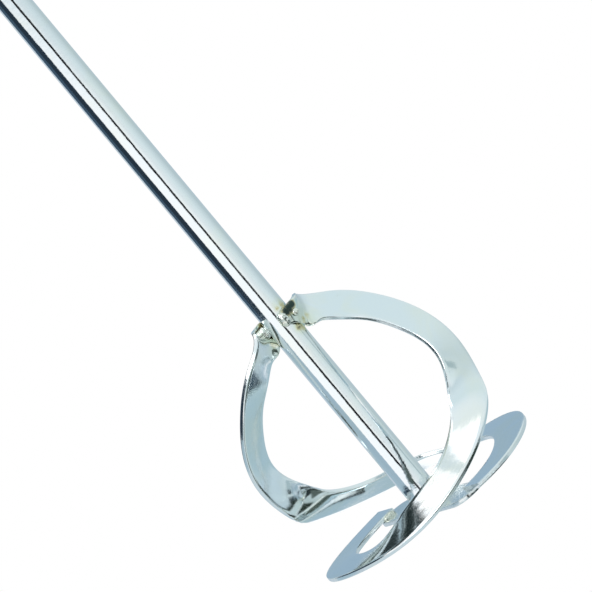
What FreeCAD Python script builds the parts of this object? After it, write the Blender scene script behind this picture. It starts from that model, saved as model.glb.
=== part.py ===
import FreeCAD, Part
import Sketcher
import math
import os

# Mortar mixing paddle: a slotted-shank steel rod that carries an open mixing head of two bent flat strips.
# Frame: +Z runs up the rod towards the drill, the origin is on the rod's axis under the cross strip, so the
# head stands on Z = 0. Strip B is strip A turned half a turn about Z.

Vector = FreeCAD.Vector
doc = FreeCAD.newDocument("mortar_mixing_paddle")

# ---------------------------------------------------------------- driving dimensions (mm and degrees)
DIMENSIONS = [
    ("tool_length", 400, "from the foot of the head to the tip of the shank"),
    ("rod_radius", 5, "drawn round rod, the slotted hammer-drill shank's own size"),
    ("tip_chamfer", 1, "bevel round the tip"),
    ("shank_length", 56, "ground stretch below the tip"),
    ("relief_width", 1.2, "turned relief where the ground shank ends"),
    ("relief_depth", 0.25, "depth of that relief"),
    ("ball_radius", 3.5, "locking ball that the closed grooves take"),
    ("ball_depth", 2, "depth of the closed grooves"),
    ("ball_start", 5.5, "from the tip to the closed grooves"),
    ("ball_length", 20, "overall length of the closed grooves"),
    ("spline_width", 2.8, "open drive grooves"),
    ("spline_depth", 1.4, "depth of the open grooves"),
    ("spline_length", 25, "length of the open grooves"),
    ("strip_width", 12, "flat strip of the head"),
    ("strip_thickness", 1.5, "the same strip"),
    ("cross_reach", 33, "from the rod's axis to each rounded end of the cross strip"),
    ("cross_angle", 112, "direction of the cross strip about the rod"),
    ("tab_tip_width", 4.5, "width that the bent tab narrows to"),
    ("foot_weld_size", 1, "leg of the weld round the rod's foot, across the strip"),
    ("foot_weld_height", 2, "leg of that weld up the rod"),
    ("lap_weld_radius", 1.4, "bead along a ribbon's inner edge on the cross strip"),
    ("lap_weld_length", 4.8, "length of that bead"),
    ("lap_weld_start", 0.4, "from the cross strip's middle line to the start of that bead"),
    ("tab_weld_radius", 1.7, "bead down the tip of a bent tab"),
    ("tab_weld_length", 5, "length of that bead"),
    ("tab_drop_radius", 1.3, "drop of weld metal on the tab's face"),
]

# A ribbon from its tail on the cross strip to its tab on the rod. Each bend is a place on the strip's middle
# line (angle about the rod, radius, height) and the way the strip's width points there: its swing from the
# radial direction about Z, and how far its outer edge dips below level. 90 up is a width along the rod.
BENDS = [
    ("tail", 112, 34, 2.3, 0, 0),
    ("flat", 150, 33.5, 2.6, 0, 0),
    ("lift", 192, 34, 3.8, 0, 0),
    ("turn", 230, 34, 4.2, 6, 8),
    ("dip", 260, 34.25, 6.75, 7, 31),
    ("front", 290, 34.5, 11, 8, 26),
    ("climb", 314, 34.25, 16.5, 12, 22),
    ("twist", 328, 34.25, 21, 22, 24),
    ("side", 338, 34.75, 26.75, 49, 30),
    ("rise", 346, 35.75, 36, 60, 21),
    ("lean", 360, 31, 50.75, 44, 4),
    ("bow", 372, 25.25, 59.75, 38, -9),
    ("near", 383, 17.5, 67.5, 38, -25),
    ("fold", 382, 8.8, 73, 44, -40),
    ("wrap", 343, 6, 74.75, 30, -70),
    ("seat", 314, 5.7, 75.5, 0, -86),
    ("tip", 285, 5.7, 75.75, 0, -88),
]
BEND_SIZES = ["angle", "radius", "height", "swing", "dip"]
TABBED_BENDS = 4  # from the fold on, the strip lies on the rod and narrows to its tip
SECTIONS_PER_BEND = 3
RIBBON_LETTERS = ("a", "b")
OVERSHOOT = 1  # how far a cutting profile reaches past the rod, mm

sheet = doc.addObject("Spreadsheet::Sheet", "dims")


def write_row(row, alias, value, note):
    """One named number in the sheet."""
    sheet.set(f"A{row}", alias)
    sheet.set(f"B{row}", str(value))
    sheet.set(f"C{row}", note)
    sheet.setAlias(f"B{row}", alias)


row = 1
for alias, value, note in DIMENSIONS:
    write_row(row, alias, value, note)
    row += 1
for bend in BENDS:
    for size, value in zip(BEND_SIZES, bend[1:]):
        write_row(row, f"{bend[0]}_{size}", value, f"{size} of the ribbon at its {bend[0]}")
        row += 1
doc.recompute()


def size(alias):
    """A number read back from the sheet, as a plain float."""
    return float(sheet.get(alias))


# ---------------------------------------------------------------- helpers
def origin_feature(body, role):
    """The body's own origin plane or axis with this role."""
    return next(item for item in body.Origin.OriginFeatures if item.Role == role)


def new_sketch(body, name, role):
    """A sketch on one of the body's origin planes."""
    sketch = body.newObject("Sketcher::SketchObject", name)
    sketch.AttachmentSupport = [(origin_feature(body, role), "")]
    sketch.MapMode = "FlatFace"
    return sketch


def add_rectangle(sketch, low, high):
    """A rectangle of four constrained lines; returns the index of its first line."""
    corners = [Vector(low[0], low[1], 0), Vector(high[0], low[1], 0), Vector(high[0], high[1], 0),
               Vector(low[0], high[1], 0)]
    first = sketch.GeometryCount
    for i in range(4):
        sketch.addGeometry(Part.LineSegment(corners[i], corners[(i + 1) % 4]), False)
    for i in range(4):
        sketch.addConstraint(Sketcher.Constraint("Coincident", first + i, 2, first + (i + 1) % 4, 1))
        sketch.addConstraint(Sketcher.Constraint("Horizontal" if i % 2 == 0 else "Vertical", first + i))
    return first


def bind(sketch, kind, *where, value, expression):
    """A dimension of the sketch driven by the sheet."""
    index = sketch.addConstraint(Sketcher.Constraint(kind, *where, value))
    sketch.setExpression(f"Constraints[{index}]", expression)


def twice_round(body, feature, name):
    """The feature repeated half a turn about the body's Z axis."""
    pattern = body.newObject("PartDesign::PolarPattern", name)
    pattern.Originals = [feature]
    pattern.Axis = (origin_feature(body, "Z_Axis"), [""])
    pattern.Angle = 360
    pattern.Occurrences = 2
    body.Tip = pattern
    doc.recompute()
    return pattern


def bound(kind, name, sizes):
    """A Part primitive whose sizes are expressions of the sheet."""
    solid = doc.addObject(kind, name)
    for prop, expression in sizes.items():
        solid.setExpression(prop, expression)
    return solid


def cut_away(base, tools, name):
    """base with every tool cut out of it."""
    result = base
    for i, tool in enumerate(tools):
        cut = doc.addObject("Part::Cut", name if i == len(tools) - 1 else f"{name}_cut_{i}")
        cut.Base = result
        cut.Tool = tool
        result = cut
    return result


ROD_TOP = "dims.tool_length - dims.strip_thickness"  # the tip's height above the rod's own foot


# ---------------------------------------------------------------- drive rod with its slotted shank
def make_drive_rod():
    """A round bar with a bevelled tip, two closed ball grooves and, between them, two open drive grooves."""
    body = doc.addObject("PartDesign::Body", "drive_rod")
    body.setExpression(".Placement.Base.z", "dims.strip_thickness")
    top = size("tool_length") - size("strip_thickness")
    radius = size("rod_radius")

    circle = new_sketch(body, "rod_circle", "XY_Plane")
    circle.addGeometry(Part.Circle(Vector(0, 0, 0), Vector(0, 0, 1), radius), False)
    circle.addConstraint(Sketcher.Constraint("Coincident", 0, 3, -1, 1))
    bind(circle, "Radius", 0, value=radius, expression="dims.rod_radius")
    bar = body.newObject("PartDesign::Pad", "rod_bar")
    bar.Profile = circle
    bar.setExpression("Length", ROD_TOP)
    doc.recompute()

    rim = next(i for i, edge in enumerate(bar.Shape.Edges, 1)
               if edge.Closed and abs(edge.CenterOfMass.z - top) < 1e-6)
    bevel = body.newObject("PartDesign::Chamfer", "tip_bevel")
    bevel.Base = (bar, [f"Edge{rim}"])
    bevel.setExpression("Size", "dims.tip_chamfer")
    doc.recompute()

    relief = new_sketch(body, "relief_profile", "XZ_Plane")
    floor = top - size("shank_length")
    line = add_rectangle(relief, (radius - size("relief_depth"), floor - size("relief_width")),
                         (radius + OVERSHOOT, floor))
    bind(relief, "DistanceX", -1, 1, line, 1, value=radius - size("relief_depth"),
         expression="dims.rod_radius - dims.relief_depth")
    bind(relief, "DistanceX", -1, 1, line, 2, value=radius + OVERSHOOT,
         expression=f"dims.rod_radius + {OVERSHOOT}")
    bind(relief, "DistanceY", -1, 1, line + 2, 1, value=floor, expression=f"{ROD_TOP} - dims.shank_length")
    bind(relief, "DistanceY", line + 1, 1, line + 1, 2, value=size("relief_width"),
         expression="dims.relief_width")
    turned = body.newObject("PartDesign::Groove", "shank_relief")
    turned.Profile = relief
    turned.ReferenceAxis = (origin_feature(body, "Z_Axis"), [""])
    turned.Angle = 360
    doc.recompute()

    # the ball groove is half a capsule's outline turned about the line where the locking ball rides
    ball = size("ball_radius")
    ride = radius + ball - size("ball_depth")
    high = top - size("ball_start") - ball
    low = top - size("ball_start") - size("ball_length") + ball
    groove = new_sketch(body, "ball_profile", "XZ_Plane")
    groove.addGeometry(Part.LineSegment(Vector(ride, low - ball, 0), Vector(ride, high + ball, 0)), False)
    groove.addGeometry(Part.ArcOfCircle(Part.Circle(Vector(ride, high, 0), Vector(0, 0, 1), ball),
                                        math.pi / 2, math.pi), False)
    groove.addGeometry(Part.LineSegment(Vector(ride - ball, high, 0), Vector(ride - ball, low, 0)), False)
    groove.addGeometry(Part.ArcOfCircle(Part.Circle(Vector(ride, low, 0), Vector(0, 0, 1), ball),
                                        math.pi, 3 * math.pi / 2), False)
    for kind, one, one_end, other, other_end in [("Coincident", 0, 2, 1, 1), ("Tangent", 1, 2, 2, 1),
                                                 ("Tangent", 2, 2, 3, 1), ("Coincident", 3, 2, 0, 1)]:
        groove.addConstraint(Sketcher.Constraint(kind, one, one_end, other, other_end))
    groove.addConstraint(Sketcher.Constraint("Vertical", 0))
    groove.addConstraint(Sketcher.Constraint("PointOnObject", 1, 3, 0))
    groove.addConstraint(Sketcher.Constraint("PointOnObject", 3, 3, 0))
    bind(groove, "Radius", 1, value=ball, expression="dims.ball_radius")
    bind(groove, "Radius", 3, value=ball, expression="dims.ball_radius")
    bind(groove, "DistanceX", -1, 1, 0, 2, value=ride,
         expression="dims.rod_radius + dims.ball_radius - dims.ball_depth")
    bind(groove, "DistanceY", -1, 1, 0, 2, value=high + ball, expression=f"{ROD_TOP} - dims.ball_start")
    bind(groove, "DistanceY", 0, 1, 0, 2, value=size("ball_length"), expression="dims.ball_length")
    closed = body.newObject("PartDesign::Groove", "ball_groove")
    closed.Profile = groove
    closed.ReferenceAxis = (groove, ["Edge1"])
    closed.Angle = 360
    doc.recompute()
    twice_round(body, closed, "ball_grooves")

    slot = new_sketch(body, "spline_profile", "XY_Plane")
    slot.setExpression(".AttachmentOffset.Base.z", ROD_TOP)
    half = size("spline_width") / 2
    floor = radius - size("spline_depth")
    line = add_rectangle(slot, (-half, floor), (half, radius + OVERSHOOT))
    bind(slot, "DistanceX", line, 1, -1, 1, value=half, expression="dims.spline_width / 2")
    bind(slot, "DistanceX", -1, 1, line, 2, value=half, expression="dims.spline_width / 2")
    bind(slot, "DistanceY", -1, 1, line, 1, value=floor, expression="dims.rod_radius - dims.spline_depth")
    bind(slot, "DistanceY", -1, 1, line + 2, 1, value=radius + OVERSHOOT,
         expression=f"dims.rod_radius + {OVERSHOOT}")
    spline = body.newObject("PartDesign::Pocket", "spline_groove")
    spline.Profile = slot
    spline.setExpression("Length", "dims.spline_length")
    doc.recompute()
    twice_round(body, spline, "spline_grooves")
    return body


# ---------------------------------------------------------------- cross strip under the ring
def make_cross_strip():
    """A flat bar with fully rounded ends; the rod stands on its middle."""
    body = doc.addObject("PartDesign::Body", "cross_strip")
    body.Placement = FreeCAD.Placement(Vector(), FreeCAD.Rotation(Vector(0, 0, 1), size("cross_angle")))
    half_width = size("strip_width") / 2
    straight = size("cross_reach") - half_width
    outline = new_sketch(body, "cross_outline", "XY_Plane")
    for side in (1, -1):
        outline.addGeometry(Part.LineSegment(Vector(side * straight, -side * half_width, 0),
                                             Vector(-side * straight, -side * half_width, 0)), False)
        outline.addGeometry(Part.ArcOfCircle(
            Part.Circle(Vector(-side * straight, 0, 0), Vector(0, 0, 1), half_width),
            math.pi / 2 if side == 1 else -math.pi / 2,
            3 * math.pi / 2 if side == 1 else math.pi / 2), False)
    for one, one_end, other, other_end in [(0, 2, 1, 2), (1, 1, 2, 1), (2, 2, 3, 2), (3, 1, 0, 1)]:
        outline.addConstraint(Sketcher.Constraint("Tangent", one, one_end, other, other_end))
    outline.addConstraint(Sketcher.Constraint("Horizontal", 0))
    outline.addConstraint(Sketcher.Constraint("Symmetric", 1, 3, 3, 3, -1, 1))
    bind(outline, "Radius", 1, value=half_width, expression="dims.strip_width / 2")
    bind(outline, "DistanceX", 1, 3, 3, 3, value=2 * straight,
         expression="2 * dims.cross_reach - dims.strip_width")
    plate = body.newObject("PartDesign::Pad", "cross_plate")
    plate.Profile = outline
    plate.setExpression("Length", "dims.strip_thickness")
    doc.recompute()
    return body


# ---------------------------------------------------------------- ribbons
def ribbon_curves():
    """The strip's middle line and the way its width points, as two curves over one parameter."""
    places = []
    widths = []
    for name, *_ in BENDS:
        angle = math.radians(size(f"{name}_angle"))
        radius = size(f"{name}_radius")
        places.append(Vector(radius * math.cos(angle), radius * math.sin(angle), size(f"{name}_height")))
        swing = angle + math.radians(size(f"{name}_swing"))
        dip = math.radians(size(f"{name}_dip"))
        level = math.cos(dip)
        widths.append(Vector(math.cos(swing) * level, math.sin(swing) * level, -math.sin(dip)))
    along = [0.0]
    for before, after in zip(places, places[1:]):
        along.append(along[-1] + before.distanceToPoint(after))
    middle = Part.BSplineCurve()
    middle.interpolate(Points=places, Parameters=along)
    pointing = Part.BSplineCurve()
    pointing.interpolate(Points=widths, Parameters=along)
    return middle, pointing, along


def ribbon_frame(middle, pointing, t):
    """Middle point, width direction and face direction of the strip at one parameter."""
    tangent = middle.tangent(t)[0]
    width = pointing.value(t)
    width = (width - tangent * width.dot(tangent)).normalize()
    return middle.value(t), width, tangent.cross(width).normalize()


def ribbon_section(middle, pointing, t, width_mm):
    """The strip's rectangular section at one parameter, as a closed wire."""
    centre, width, face = ribbon_frame(middle, pointing, t)
    across = width * (width_mm / 2)
    through = face * (size("strip_thickness") / 2)
    corners = [centre + across + through, centre - across + through, centre - across - through,
               centre + across - through]
    return Part.makePolygon(corners + corners[:1])


def make_ribbon_solid(rod_cylinder):
    """Ribbon A: a loft through its sections, hollowed where its tab lies on the rod."""
    middle, pointing, along = ribbon_curves()
    taper_start = along[-TABBED_BENDS]
    sections = []
    for before, after in zip(along, along[1:]):
        for step in range(SECTIONS_PER_BEND):
            sections.append(before + (after - before) * step / SECTIONS_PER_BEND)
    sections.append(along[-1])
    wires = []
    for t in sections:
        share = max(0.0, (t - taper_start) / (along[-1] - taper_start))
        width_mm = size("strip_width") + (size("tab_tip_width") - size("strip_width")) * share
        wires.append(ribbon_section(middle, pointing, t, width_mm))
    return Part.makeLoft(wires, True, False).cut(rod_cylinder)


def make_feature(name, shape, turns):
    """A node that holds one finished shape, turned about the rod's axis by so many half turns."""
    feature = doc.addObject("Part::Feature", name)
    feature.Shape = shape
    feature.Placement = FreeCAD.Placement(Vector(0, 0, 0), FreeCAD.Rotation(Vector(0, 0, 1), 180 * turns))
    return feature


# ---------------------------------------------------------------- welds
def make_foot_weld():
    """A fillet of weld metal round the rod's foot, on the cross strip."""
    cone = bound("Part::Cone", "foot_weld_cone", {
        "Radius1": "dims.rod_radius + dims.foot_weld_size",
        "Radius2": "dims.rod_radius",
        "Height": "dims.foot_weld_height",
        ".Placement.Base.z": "dims.strip_thickness",
    })
    core = bound("Part::Cylinder", "foot_weld_core", {
        "Radius": "dims.rod_radius",
        "Height": "dims.foot_weld_height",
        ".Placement.Base.z": "dims.strip_thickness",
    })
    return cut_away(cone, [core], "foot_weld")


def make_lap_weld(ribbon):
    """A quarter-round bead on the cross strip along ribbon A's inner edge."""
    radius = size("lap_weld_radius")
    angle = math.radians(size("tail_angle"))
    inner = size("tail_radius") - size("strip_width") / 2
    length = size("lap_weld_length")
    out = Vector(math.cos(angle), math.sin(angle), 0)
    along = Vector(-math.sin(angle), math.cos(angle), 0)
    start = out * inner + along * size("lap_weld_start") + Vector(0, 0, size("strip_thickness"))
    bead = Part.makeCylinder(radius, length, start, along)
    below = Part.makeCylinder(size("cross_reach") * 2, radius * 2,
                              Vector(0, 0, size("strip_thickness") - radius * 2), Vector(0, 0, 1))
    outside = Part.makeBox(radius * 2, length * 2, radius * 4)
    outside.Placement = FreeCAD.Placement(start - along * (length / 2) - Vector(0, 0, radius),
                                          FreeCAD.Rotation(Vector(0, 0, 1), size("tail_angle")))
    return bead.cut(below).cut(outside).cut(ribbon)


def make_tab_weld(ribbon, rod_cylinder):
    """The bead down the tab's tip and the drop of metal on its face."""
    middle, pointing, along = ribbon_curves()
    tip, up, _ = ribbon_frame(middle, pointing, along[-1])
    length = size("tab_weld_length")
    radius = size("tab_weld_radius")
    start = tip - up * ((length - 2 * radius) / 2)
    bead = Part.makeCylinder(radius, length - 2 * radius, start, up)
    for end in (start, start + up * (length - 2 * radius)):
        bead = bead.fuse(Part.makeSphere(radius, end))
    bead = bead.removeSplitter().cut(rod_cylinder).cut(ribbon)
    seat = (along[-3] + along[-2]) / 2
    centre, _, face = ribbon_frame(middle, pointing, seat)
    if face.dot(Vector(centre.x, centre.y, 0)) < 0:
        face = face * -1
    drop = Part.makeSphere(size("tab_drop_radius"), centre + face * (size("strip_thickness") / 2))
    drop = drop.cut(ribbon).cut(rod_cylinder)
    pieces = [biggest(bead), biggest(drop)]
    return Part.Compound(pieces)


def biggest(shape):
    """The largest solid of a shape; boolean cuts can leave crumbs beside it."""
    return max(shape.Solids, key=lambda solid: solid.Volume)


drive_rod = make_drive_rod()
cross_strip = make_cross_strip()
foot_weld = make_foot_weld()
rod_cylinder = Part.makeCylinder(size("rod_radius"), size("tool_length"), Vector(0, 0, 0), Vector(0, 0, 1))
ribbon = biggest(make_ribbon_solid(rod_cylinder))
lap_weld = biggest(make_lap_weld(ribbon))
tab_weld = make_tab_weld(ribbon, rod_cylinder)

nodes = [drive_rod, cross_strip, foot_weld]
for turns, letter in enumerate(RIBBON_LETTERS):
    nodes.append(make_feature(f"ribbon_blade_{letter}", ribbon, turns))
    nodes.append(make_feature(f"lap_weld_{letter}", lap_weld, turns))
    nodes.append(make_feature(f"tab_weld_{letter}", tab_weld, turns))

# ---------------------------------------------------------------- check and write
doc.recompute()
for item in doc.Objects:
    if "Invalid" in item.State or "Error" in item.State:
        raise RuntimeError(f"{item.Name} is {item.State}")
os.makedirs("parts", exist_ok=True)
for node in nodes:
    node.Label = node.Name
    shape = node.Shape
    if shape.isNull() or not shape.isValid() or not shape.Solids:
        raise RuntimeError(f"{node.Label} has no valid solid")
    shape.exportStep(f"parts/{node.Label}.step")
    box = shape.BoundBox
    spans = [f"{low:.2f}..{high:.2f}" for low, high in
             [(box.XMin, box.XMax), (box.YMin, box.YMax), (box.ZMin, box.ZMax)]]
    print(f"{node.Label}: {len(shape.Solids)} solid(s), {shape.Volume:.1f} mm3, x y z {' '.join(spans)}")
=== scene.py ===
import logging
import math
from dataclasses import dataclass
from enum import Enum
from typing import Sequence

import bmesh
import bpy
import numpy as np
from mathutils import Matrix, Vector


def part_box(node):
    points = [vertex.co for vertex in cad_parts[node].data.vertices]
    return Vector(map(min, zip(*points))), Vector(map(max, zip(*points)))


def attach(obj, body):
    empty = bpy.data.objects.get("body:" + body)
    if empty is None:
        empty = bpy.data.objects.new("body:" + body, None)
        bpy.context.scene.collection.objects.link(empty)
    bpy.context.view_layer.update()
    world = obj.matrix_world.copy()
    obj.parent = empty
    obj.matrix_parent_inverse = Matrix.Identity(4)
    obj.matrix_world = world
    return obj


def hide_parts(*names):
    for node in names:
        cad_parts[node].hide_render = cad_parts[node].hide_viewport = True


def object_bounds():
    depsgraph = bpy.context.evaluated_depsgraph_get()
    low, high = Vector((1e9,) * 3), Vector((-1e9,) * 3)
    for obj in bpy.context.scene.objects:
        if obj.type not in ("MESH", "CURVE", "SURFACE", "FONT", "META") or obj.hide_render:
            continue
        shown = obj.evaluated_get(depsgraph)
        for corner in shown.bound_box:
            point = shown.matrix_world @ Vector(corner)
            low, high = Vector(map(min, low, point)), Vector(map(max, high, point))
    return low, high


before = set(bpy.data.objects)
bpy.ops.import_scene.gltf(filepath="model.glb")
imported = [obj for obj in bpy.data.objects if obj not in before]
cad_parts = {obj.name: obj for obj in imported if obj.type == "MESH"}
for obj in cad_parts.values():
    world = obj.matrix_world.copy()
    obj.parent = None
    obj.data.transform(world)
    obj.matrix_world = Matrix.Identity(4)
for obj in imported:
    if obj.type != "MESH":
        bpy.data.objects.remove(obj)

# Mortar mixing paddle. Metres; +Z runs up the rod, and the head stands on Z = 0. Ribbon B is ribbon A turned
# half a turn about Z.

CAD_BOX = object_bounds()
BODY = "root"
MM = 0.001
LOG = logging.getLogger("mixing_paddle")

LAY = "lay"  # vector attribute: metres along, across and through the metal
RIM = "rim"  # 0 on open metal, 1 at a worn edge
HEAT_AND_SHADE = "scorching_and_shade"  # 0 on cold metal, 1 and over where welding scorched it; by the tab it also carries painted shade

Tone = tuple[float, float, float]
Place = tuple[float, float, float]
Socket = bpy.types.NodeSocket


class Letter(Enum):
    """The two ribbons, by how many half turns about Z they stand from ribbon A."""

    A = 0
    B = 1

    @property
    def tail(self) -> str:
        """The letter that ends this ribbon's node names."""
        return self.name.lower()

    @property
    def turn(self) -> Matrix:
        """The rotation about Z from ribbon A to this ribbon."""
        return Matrix.Rotation(math.pi * self.value, 4, "Z")

    @property
    def side(self) -> int:
        """1 for ribbon A, -1 for ribbon B: what X and Y are multiplied by to come back to ribbon A."""
        return 1 - 2 * self.value


# ---------------------------------------------------------------- node building
def add_sockets(group: bpy.types.NodeTree, inputs: Sequence[tuple[str, str, object]],
                outputs: Sequence[tuple[str, str]]) -> None:
    """Gives a node group its named sockets.

    Args:
        group: The group.
        inputs: Name, kind and default (None for the kind's own) of each input.
        outputs: Name and kind of each output.
    """
    for label, kind, default in inputs:
        socket = group.interface.new_socket(label, in_out="INPUT", socket_type=f"NodeSocket{kind}")
        if default is not None:
            socket.default_value = default
    for label, kind in outputs:
        group.interface.new_socket(label, in_out="OUTPUT", socket_type=f"NodeSocket{kind}")


class Tree:
    """A small builder for one node tree."""

    def __init__(self, tree: bpy.types.NodeTree) -> None:
        """Wraps an existing tree."""
        self.tree = tree

    def add(self, kind: str, **settings: object) -> bpy.types.Node:
        """Adds a node and sets its plain properties.

        Args:
            kind: The node's type name.
            settings: Property names and values.

        Returns:
            The new node.
        """
        node = self.tree.nodes.new(kind)
        for name, value in settings.items():
            setattr(node, name, value)
        return node

    def feed(self, socket: Socket, value: object) -> None:
        """Links an output to a socket, or writes a plain value to it.

        Args:
            socket: The input to feed.
            value: An output socket, a number, a vector or a colour.
        """
        if isinstance(value, bpy.types.NodeSocket):
            self.tree.links.new(value, socket)
        else:
            socket.default_value = value

    def fill(self, node: bpy.types.Node, values: dict[str, object]) -> bpy.types.Node:
        """Feeds a node's inputs by their names.

        Args:
            node: The node.
            values: What each named input gets.

        Returns:
            The same node.
        """
        for label, value in values.items():
            self.feed(node.inputs[label], value)
        return node

    def math(self, operation: str, *values: object, clamp: bool = False) -> Socket:
        """A Math node.

        Args:
            operation: The operation's name.
            values: Its inputs in order.
            clamp: Whether the result is held between 0 and 1.

        Returns:
            The node's result.
        """
        node = self.add("ShaderNodeMath", operation=operation, use_clamp=clamp)
        for socket, value in zip(node.inputs, values):
            self.feed(socket, value)
        return node.outputs[0]

    def vector(self, operation: str, *values: object) -> bpy.types.Node:
        """A Vector Math node.

        Args:
            operation: The operation's name.
            values: Its inputs in order.

        Returns:
            The node, whose outputs are Vector and Value.
        """
        node = self.add("ShaderNodeVectorMath", operation=operation)
        for socket, value in zip(node.inputs, values):
            self.feed(socket, value)
        return node

    def scaled(self, direction: Socket, length: Socket) -> Socket:
        """A direction multiplied by a number."""
        return self.fill(self.vector("SCALE", direction), {"Scale": length}).outputs[0]

    def parts(self, vector: Socket) -> Sequence[Socket]:
        """The X, Y and Z of a vector."""
        return self.fill(self.add("ShaderNodeSeparateXYZ"), {"Vector": vector}).outputs

    def joined(self, x: object, y: object, z: object = 0.0) -> Socket:
        """A vector of three numbers."""
        return self.fill(self.add("ShaderNodeCombineXYZ"), {"X": x, "Y": y, "Z": z}).outputs[0]

    def ramp(self, value: object, low: object, high: object) -> Socket:
        """A smooth step.

        Args:
            value: What is mapped.
            low: Input that gives 0.
            high: Input that gives 1.

        Returns:
            The mapped value.
        """
        node = self.add("ShaderNodeMapRange", interpolation_type="SMOOTHSTEP")
        for socket, number in zip(node.inputs, (value, low, high)):
            self.feed(socket, number)
        return node.outputs[0]

    def noise(self, place: object, scale: object, detail: float = 2.0, roughness: float = 0.5,
              distortion: float = 0.0) -> Socket:
        """A noise texture's value.

        Args:
            place: The coordinate it reads.
            scale: Cells in a metre.
            detail: Octaves.
            roughness: Strength of the finer octaves.
            distortion: How far the pattern is warped.

        Returns:
            The noise, about 0.5 on average.
        """
        return self.fill(self.add("ShaderNodeTexNoise"), {
            "Vector": place, "Scale": scale, "Detail": detail, "Roughness": roughness,
            "Distortion": distortion}).outputs[0]

    def mix(self, share: object, first: object, second: object, blend: str = "MIX") -> Socket:
        """A colour between two.

        Args:
            share: 0 gives the first, 1 the second.
            first: A colour or an output.
            second: A colour or an output.
            blend: How the second is laid on the first.

        Returns:
            The mixed colour.
        """
        node = self.add("ShaderNodeMix", data_type="RGBA", blend_type=blend)
        factor, colour_a, colour_b = node.inputs[0], node.inputs[6], node.inputs[7]
        for socket, value in ((factor, share), (colour_a, first), (colour_b, second)):
            self.feed(socket, value)
        return node.outputs[2]

    def tones(self, value: Socket, stops: Sequence[tuple[float, Tone]]) -> Socket:
        """A colour ramp.

        Args:
            value: What is looked up.
            stops: Position and colour of each stop, in order.

        Returns:
            The colour at the value.
        """
        node = self.add("ShaderNodeValToRGB")
        elements = node.color_ramp.elements
        while len(elements) < len(stops):
            elements.new(0.5)
        for element, (position, colour) in zip(elements, stops):
            element.position = position
            element.color = (*colour, 1)
        self.feed(node.inputs[0], value)
        return node.outputs[0]


def new_group(name: str, inputs: Sequence[tuple[str, str, object]],
              outputs: Sequence[tuple[str, str]]) -> tuple[Tree, Sequence[Socket], bpy.types.Node]:
    """Makes an empty shader node group.

    Args:
        name: The group's name.
        inputs: Name, kind and default of each input; kind is Float, Vector or Color.
        outputs: Name and kind of each output.

    Returns:
        The group's builder, what comes in by name, and the output node.
    """
    group = bpy.data.node_groups.new(name, "ShaderNodeTree")
    add_sockets(group, inputs, outputs)
    tree = Tree(group)
    return tree, tree.add("NodeGroupInput").outputs, tree.add("NodeGroupOutput")


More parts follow.
